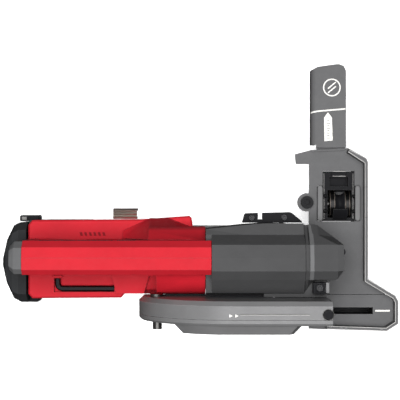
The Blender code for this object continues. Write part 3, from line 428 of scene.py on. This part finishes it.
# ---------------------------------------------------------------- pieces on the stand
def arm_marks():
    """A line round the arm, a plain ring with bars, and a pointed tag with ticks."""
    top = ARM_TOP
    bend, radius, half = (118.8, top - 6.0), 6.0, 0.8
    path = [(147.9, 92.6, top), (132.0, 91.3, top), (121.4, 90.4, top), (118.8, 90.1, top)]
    for i in range(1, 5):
        x, z = polar(bend, radius, math.radians(90 + 90 * i / 4))
        path.append((x, 90.1 - 0.45 * i, z))
    bm = bmesh.new()
    rows = []
    for x, y, z in path:
        out = Vector((x - bend[0], 0, z - bend[1])).normalized() if x < bend[0] - 0.01 \
            else Vector((0, 0, 1))
        rows.append([bm.verts.new(point(x + out.x * h, y + w, z + out.z * h))
                     for w, h in ((-half, -MARK_SINK), (half, -MARK_SINK), (half, SKIN),
                                  (-half, SKIN))])
    join_rings(bm, rows)
    bm.faces.new(rows[0])
    bm.faces.new(rows[-1])
    finish_piece("arm_line", bm, "white", "stand")

    at, ring, line = (134.0, 114.3), 8.4, 0.65
    bm = bmesh.new()
    low, high = top - MARK_SINK, top + SKIN
    profile = [(ring - line, low), (ring + line, low), (ring + line, high), (ring - line, high),
               (ring - line, low)]
    add_lathe(bm, "z", at, profile, 56)
    for shift in (-2.2, 2.2):
        add_prism(bm, "z", capsule((at[0] - 3.6, at[1] - 3.0 + shift),
                                   (at[0] + 3.6, at[1] + 3.0 + shift), line), low, high)
    finish_piece("arm_ring", bm, "white", "stand")

    tag = [(129.9, 89.2), (126.0, 83.6), (126.4, 59.6), (134.8, 60.5), (134.1, 83.8)]
    prism("arm_tag", "z", tag, low, high, "white", "stand")
    bm = bmesh.new()
    for i in range(8):
        reach = 1.9 if i % 2 == 0 else 1.1
        y = 63.0 + 2.5 * i
        add_prism(bm, "z", rectangle((130.4 - reach, 130.4 + reach), (y - 0.3, y + 0.3)),
                  high - 0.02, high + SKIN)
    finish_piece("arm_ticks", bm, "ink", "stand")


def table_details():
    """Ridge along the far edge, the rim's ribs, joints and painted edge highlights, and the
    cutting line.
    """
    top = TABLE_TOP
    ridge = [(113.2, 48.6), (147.2, 50.2), (147.2, 52.2), (113.2, 50.4)]
    prism("table_ridge", "z", ridge, top - SINK, top + 1.6, "plate", "stand", 0.5)
    bm = bmesh.new()
    for x in (131.0, 142.0, 146.6, 182.4):
        y = -126.7 - 0.033 * (x - 127.3)
        add_prism(bm, "z", rectangle((x - 1.1, x + 1.1), (y - 2.8, y - 0.4)), RIM_TOP - SINK,
                  RIM_TOP + 0.7)
    finish_piece("rim_ribs", bm, "light_metal", "stand", 0.25)
    bm = bmesh.new()
    for y in (13.2, -17.5):
        add_prism(bm, "z", rectangle((165.8, 168.8), (y - 0.25, y + 0.25)),
                  RIM_TOP - MARK_SINK, RIM_TOP + SKIN)
    finish_piece("rim_joints", bm, "ink", "stand")
    # strips of painted highlight along the rim's top edges
    lines = ([(149.1, 48.5), (165.9, 37.3), (165.9, -81.7), (194.1, -98.7), (196.3, -102.9),
              (196.3, -122.7), (187.0, -128.8), (128.0, -126.8)],
             [(150.3, 50.4), (167.2, 41.7), (168.7, 37.9), (168.7, -79.8), (196.1, -96.2),
              (199.1, -101.7), (199.1, -124.2), (187.7, -131.5), (128.0, -129.4)])
    bm = bmesh.new()
    for line in lines:
        for first, second in zip(line, line[1:]):
            run = Vector((second[0] - first[0], second[1] - first[1])).normalized() * 0.28
            corners = [(first[0] - run.y, first[1] + run.x), (first[0] + run.y, first[1] - run.x),
                       (second[0] + run.y, second[1] - run.x),
                       (second[0] - run.y, second[1] + run.x)]
            add_prism(bm, "z", corners, RIM_TOP - MARK_SINK, RIM_TOP + SKIN)
    finish_piece("rim_highlight_lines", bm, "painted_highlight", "stand")
    prism("cut_line", "z", rectangle((178.0, 193.0), (BLADE_Y - 0.9, BLADE_Y + 0.9)),
          top - MARK_SINK, top + SKIN, "white", "stand")


def roller_details():
    """Axle nut, guide pins, the roller's steel edges with a painted highlight, its scraper, and
    its tray's painted highlight lines, cheeks and lip."""
    centre = (-4.0, 74.0)
    lathe("axle_nut", "x", centre, [(0.0, 161.6), (3.4, 161.9), (3.4, 164.6), (2.6, 165.1),
                                    (0.0, 165.1)], "steel", "stand", 6)
    bm = bmesh.new()
    for y in (4.0, -11.2):
        add_lathe(bm, "x", (y, 81.0), [(0.0, 124.0), (1.7, 124.0), (1.7, 128.4), (1.2, 128.9),
                                       (0.0, 128.9)], 16)
        add_lathe(bm, "x", (y, 81.0), [(0.0, 157.4), (1.7, 157.4), (1.7, 154.4), (1.2, 154.0),
                                       (0.0, 154.0)], 16)
    finish_piece("guide_pins", bm, "black_steel", "stand")
    # thin warm steel rings on the roller's rims: the rims' steel, with a painted highlight on it
    bm = bmesh.new()
    for x in (131.9, 136.2, 147.2, 151.5):
        ring = [(13.55, x - 0.3), (13.95, x - 0.2), (13.95, x + 0.2), (13.55, x + 0.3),
                (13.55, x - 0.3)]
        add_lathe(bm, "x", centre, ring, 40)
    finish_piece("roller_rim_highlights", bm, "hook_steel", "roller")
    curve = []
    for radius, first, last in ((17.0, 108, 168), (14.7, 168, 108)):
        for i in range(8):
            curve.append(polar(centre, radius, math.radians(first + (last - first) * i / 7)))
    prism("roller_scraper", "x", curve, 134.4, 149.2, "black", "stand", 0.4)
    lip_top = 82.0
    # strips of painted highlight along the lip's and the opening's edges
    bm = bmesh.new()
    for y in (24.2, 29.0):
        add_prism(bm, "z", rectangle((134.6, 147.9), (y - 0.2, y + 0.2)), lip_top - 0.1,
                  lip_top + 0.2)
    for x in (126.0, 155.4):
        add_prism(bm, "z", capsule((x, -19.0), (x, 27.0), 0.12), 79.0, 80.3)
    finish_piece("tray_highlight_lines", bm, "painted_highlight", "stand")
    for name, x in (("cheek_left", 121.6), ("cheek_right", 159.6)):
        prism(name, "z", capsule((x, -18.6), (x, 12.0), 2.7), 84.0 - SINK, 86.4, "cheek",
              "stand", 0.9)
    lip = [(133.1, 24.4), (149.4, 24.4), (147.6, 28.6), (134.9, 28.6)]
    prism("tray_lip", "z", lip, 78.4, lip_top, "black", "stand", 0.6)


# ---------------------------------------------------------------- pieces on the head
def head_screws():
    """Socket heads on the bracket, block, handle, cover and hook, and the block's lug."""
    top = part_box("side_bracket")[1].z / MM
    spots = [((x, y), 2.9, top - SINK, top + 1.6) for x, y in ((50.9, -17.6), (82.8, -17.2))]
    sockets("bracket_screws", "z", spots, "screw", "head")
    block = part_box("front_block")[1].z / MM
    sockets("block_screw", "z", [((115.2, -84.9), 3.4, block - SINK, block + 1.6)],
            "screw", "head")
    prism("block_lug", "z", rectangle((121.3, 125.0), (-90.0, -79.6)), 145.4, 153.0,
          "light_metal", "head", 0.6)
    side = HANDLE_Y - HANDLE_HALF
    spots = [((x, z), 2.3, side + SINK, side - 0.5) for x, z in
             ((-166.8, 158.0), (-64.0, 158.0), (-62.0, 96.0), (-166.6, 94.0), (-28.0, 158.0),
              (2.0, 158.0))]
    sockets("handle_screws", "y", spots, "black_steel", "head")
    cover, hook = -22.7, -16.8
    spots = [((x, z), 2.3, cover - SINK, cover + 0.5) for x, z in
             ((70.0, 136.0), (80.0, 120.0))]
    sockets("cover_screws", "y", spots, "black_steel", "head")
    sockets("hook_screw", "y", [((-76.0, 73.0), 2.6, hook - SINK, hook + 1.4)],
            "black_steel", "head")


def guard_details():
    """Arrow marks and a double line on the guard's top, the plug's rim, and the rings
    about the bolts on the guard's two sides."""
    low, high = GUARD_TOP - MARK_SINK, GUARD_TOP + SKIN
    bm = bmesh.new()
    for x in (28.8, 34.4):
        add_prism(bm, "z", [(x - 1.6, -106.2), (x + 1.6, -107.8), (x - 1.6, -109.4)], low, high)
    finish_piece("guard_arrows", bm, "white", "head")
    prism("guard_line", "z", rectangle((37.5, 102.0), (-106.6, -106.2)), low, high, "ink",
          "head")
    prism("guard_line_light", "z", rectangle((37.5, 102.0), (-107.1, -106.8)), low, high,
          "white", "head")
    bm = bmesh.new()
    ring = [(5.0, GUARD_TOP), (5.5, GUARD_TOP), (5.5, high + 0.15), (5.0, high + 0.3),
            (5.0, GUARD_TOP)]
    add_lathe(bm, "z", (119.4, -106.8), ring, 32)
    finish_piece("plug_rim", bm, "steel", "head")
    lathe("guard_spacer", "y", (-43.0, 128.0), [(0.0, -94.8), (6.4, -94.8), (6.4, -92.4),
                                                (5.8, -91.6), (0.0, -91.6)], "steel", "head")
    lathe("stud_collar", "y", (-42.0, 126.0), [(0.0, -117.3), (6.6, -117.3), (6.6, -118.6),
                                               (6.0, -119.1), (0.0, -119.1)], "steel", "head")


def housing_details():
    """Louvres beside the motor, the key's clip, a seam line, dark sheets of painted shade across
    the gaps between head and guard, embossed bars and the handle ridge's joint."""
    wall = -93.0
    bm = bmesh.new()
    for i in range(5):
        x = -36.0 + 7.8 * i
        add_prism(bm, "y", capsule((x, 88.0), (x + 2.6, 110.0), 1.35), wall - 0.35,
                  wall + SINK)
    finish_piece("vents", bm, "black", "head", 0.15)
    clip = [(-149.2, -76.0), (-149.2, -77.6), (-147.8, -78.9), (-140.6, -78.9),
            (-139.2, -77.6), (-139.2, -76.0)]
    prism("key_clip", "z", clip, HOUSING_TOP - SINK, 89.0, "red", "head", 0.5)
    seam = [(-33.6, -17.6), (-8.9, -27.0), (-8.9, -27.6), (-34.0, -18.2)]
    prism("housing_seam", "z", seam, HOUSING_TOP - MARK_SINK, HOUSING_TOP + SKIN,
          "seam_and_shade_red", "head")
    # dark sheets of painted shade across the gaps between head and guard
    prism("gap_shade_sheet", "z", rectangle((-34.0, 5.4), (-94.6, -92.8)), 118.6, 120.4, "black",
          "head", 0.2)
    outline = [(5.5, -94.6), (73.0, -94.6), (73.0, -97.6), (123.2, -97.6), (123.2, -90.6),
               (5.5, -90.6)]
    prism("gap_shade_sheet_front", "z", outline, 134.0, 136.0, "black", "head", 0.2)
    prism("gap_shade_sheet_rear", "z", rectangle((-72.0, -8.0), (-95.0, -90.0)), 78.0, 80.0,
          "seam_and_shade_red", "head", 0.3)
    bm = bmesh.new()
    for i in range(6):
        x = -122.0 + 4.6 * i
        add_prism(bm, "z", [(x, -32.6), (x + 2.4, -32.6), (x + 3.4, -36.2), (x + 1.0, -36.2)],
                  HOUSING_TOP - SINK, HOUSING_TOP + 0.35)
    finish_piece("embossed_bars", bm, "seam_and_shade_red", "head")
    joint = [(HANDLE_Y - 0.2, 171.0), (HANDLE_Y + 0.2, 171.0), (HANDLE_Y + 0.2, 172.92),
             (HANDLE_Y - 0.2, 172.95)]
    prism("ridge_joint", "x", joint, -170.2, 10.8, "red", "head")


def nose_details():
    """Painted shade in the groove and a band of painted highlight round the nose, where it joins
    the cover.
    """
    outline = [(-24.2, 146.0), (-33.5, 159.3), (-42.8, 172.6), (-55.3, 175.3), (-67.7, 175.0),
               (-76.4, 166.0), (-78.4, 150.0)]
    # name, ends along X, foot and thickness off the outline, look
    for name, low, high, base, lift, look in (
            # a dark strip of painted shade in the groove, and a lighter band of painted highlight
            ("nose_groove_shade", 101.4, 103.9, -2.3, 0.5, "ink"),
            ("nose_highlight_band", 104.9, 108.8, -0.6, 0.7, "band")):
        points = [Vector(at) for at in outline]
        runs = [(b - a).normalized() for a, b in zip(points, points[1:])]
        lower, upper = [], []
        for at, before, after in zip(points, [runs[0], *runs], [*runs, runs[-1]]):
            out = Vector((before.y + after.y, -before.x - after.x)).normalized()
            lower.append(at + out * base)
            upper.append(at + out * (base + lift))
        bm = bmesh.new()
        add_prism(bm, "x", [tuple(at) for at in lower + upper[::-1]], low, high)
        finish_piece(name, bm, look, "head")


def grip_details():
    """Ribbed pads on both sides of the grip, and a frame round the side button."""
    for name, way in (("grip_pad_left", 1), ("grip_pad_right", -1)):
        side = HANDLE_Y + way * HANDLE_HALF
        bm = bmesh.new()
        pad = [(-156.0, 142.0), (-88.0, 141.0), (-84.0, 145.0), (-84.0, 158.0), (-156.0, 158.5)]
        add_prism(bm, "y", pad, *sorted((side - way * SINK, side + way * 0.15)))
        for i in range(12):
            x = -151.0 + 5.4 * i
            add_prism(bm, "y", capsule((x, 145.5), (x + 2.0, 154.5), 0.9),
                      *sorted((side + way * 0.05, side + way * 0.4)))
        finish_piece(name, bm, "rubber", "head")
    side = HANDLE_Y + HANDLE_HALF
    outer, inner = [(-79.9, 145.2), (-62.1, 158.8)], [(-78.3, 146.7), (-63.7, 157.3)]
    bm = bmesh.new()
    for x, z in (((outer[0][0], inner[0][0]), (outer[0][1], outer[1][1])),
                 ((inner[1][0], outer[1][0]), (outer[0][1], outer[1][1])),
                 ((inner[0][0] - 0.2, inner[1][0] + 0.2), (outer[0][1] + 0.15, inner[0][1])),
                 ((inner[0][0] - 0.2, inner[1][0] + 0.2), (inner[1][1], outer[1][1] - 0.15))):
        add_prism(bm, "y", rectangle(x, z), side - SINK, side + 0.4)
    finish_piece("button_frame", bm, "black", "head", 0.08)


def battery_details():
    """Grooves on the battery's sides, its charge lights and the tabs' inserts."""
    for name, way in (("battery_grooves_left", 1), ("battery_grooves_right", -1)):
        side = BODY_Y + way * BATTERY_HALF
        bm = bmesh.new()
        for z in (16.0, 22.0, 28.0, 34.0):
            add_prism(bm, "y", capsule((-158.0, z), (-114.0, z), 1.0),
                      *sorted((side - way * SINK, side + way * 0.3)))
        finish_piece(name, bm, "black", "battery", 0.1)
    bm = bmesh.new()
    for z in (34.0, 40.0, 46.0, 52.0):
        add_lathe(bm, "x", (-62.8, z), [(0.0, -200.8), (1.5, -200.8), (1.5, -201.4),
                                        (1.0, -201.7), (0.0, -201.7)], 20)
    finish_piece("charge_lights", bm, "white", "battery")
    tab_top = 51.5
    for name, body, span in (("tab_insert_left", "tab_left", (-20.6, -17.2)),
                             ("tab_insert_right", "tab_right", (-104.2, -100.2))):
        prism(name, "z", rectangle((-184.6, -179.4), span), tab_top - SINK, tab_top + 0.4,
              "steel", body, 0.1)


def blade_tips():
    """A carbide tip on each tooth."""
    teeth, reach, wide = 40, 92.0, 1.15
    centre = Vector((SPINDLE_X, AXIS_Z))
    bm = bmesh.new()
    for i in range(teeth):
        turn = math.tau * i / teeth
        away = Vector((math.cos(turn), math.sin(turn)))
        across = Vector((-math.sin(turn), math.cos(turn)))
        corners = [centre + away * r + across * t for r, t in
                   ((reach - 4.2, 0.1), (reach - 0.1, 0.1), (reach - 0.3, 1.9),
                    (reach - 4.2, 2.2))]
        add_prism(bm, "y", [tuple(c) for c in corners], BLADE_Y - wide, BLADE_Y + wide)
    finish_piece("blade_tips", bm, "steel", "blade_group")


# ---------------------------------------------------------------- stage
FLOOR_HALF = 3.0
FLOOR_GLOW = 0.45
WORLD_LIGHT = 0.09
# name, place, size, power, whether reflections show it, whether it lights surfaces
LAMPS = (("softbox", (-0.1, 0.02, 2.1), 1.1, 84.0, False, True),
         ("gloss", (0.0, 0.0, 2.2), 2.4, 24.0, True, False),
         ("side", (-1.5, -1.2, 1.2), 0.8, 1.5, True, True),
         ("back", (1.4, 1.3, 1.4), 0.8, 3.0, True, True))
CAMERA_HEIGHT = 1.547
VIEW_WIDTH = 0.4064            # what the frame shows at the height of the table
CLIP_NEAR, CLIP_FAR = 0.01, 20.0


def stage():
    """Even white floor, one large soft light overhead, a wide one seen only in
    reflections, and two weak ones."""
    bm = bmesh.new()
    bmesh.ops.create_grid(bm, x_segments=1, y_segments=1, size=FLOOR_HALF)
    mesh = bpy.data.meshes.new("floor")
    bm.to_mesh(mesh)
    bm.free()
    floor = bpy.data.objects.new("floor", mesh)
    bpy.context.scene.collection.objects.link(floor)
    white = moulded("floor_white", (0.93, 0.93, 0.93), 0.95, grain=400.0, depth=0.00001,
                    worn=0.0, specular=0.0, spread=0.004)
    glow = white.node_tree.nodes["Principled BSDF"].inputs
    glow["Emission Color"].default_value = (1.0, 1.0, 1.0, 1.0)
    glow["Emission Strength"].default_value = FLOOR_GLOW
    mesh.materials.append(white)
    floor.visible_diffuse = False
    floor.visible_glossy = False
    world = bpy.data.worlds.new("studio")
    world.use_nodes = True
    world.node_tree.nodes["Background"].inputs["Color"].default_value = (1, 1, 1, 1)
    world.node_tree.nodes["Background"].inputs["Strength"].default_value = WORLD_LIGHT
    bpy.context.scene.world = world
    bpy.context.scene.view_settings.view_transform = "Standard"
    for name, place, size, power, glossy, diffuse in LAMPS:
        lamp = bpy.data.lights.new(name, "AREA")
        lamp.energy = power
        lamp.size = size
        light = bpy.data.objects.new(name, lamp)
        light.location = place
        light.visible_glossy = glossy
        light.visible_diffuse = diffuse
        light.rotation_euler = (-Vector(place)).to_track_quat("-Z", "Y").to_euler()
        bpy.context.scene.collection.objects.link(light)


def camera():
    """Camera straight above the frame's middle, looking down."""
    made = bpy.data.cameras.new("camera")
    made.lens_unit = "FOV"
    made.angle = 2 * math.atan(VIEW_WIDTH / 2 / (CAMERA_HEIGHT - TABLE_TOP * MM))
    made.clip_start, made.clip_end = CLIP_NEAR, CLIP_FAR
    obj = bpy.data.objects.new("camera", made)
    obj.location = (0.0, SHIFT_Y * MM, CAMERA_HEIGHT)
    bpy.context.scene.collection.objects.link(obj)
    bpy.context.scene.camera = obj


camera()
dress_nodes()
for make in (arm_marks, table_details, roller_details, head_screws, guard_details,
             housing_details, nose_details, grip_details, battery_details, blade_tips, stage):
    make()
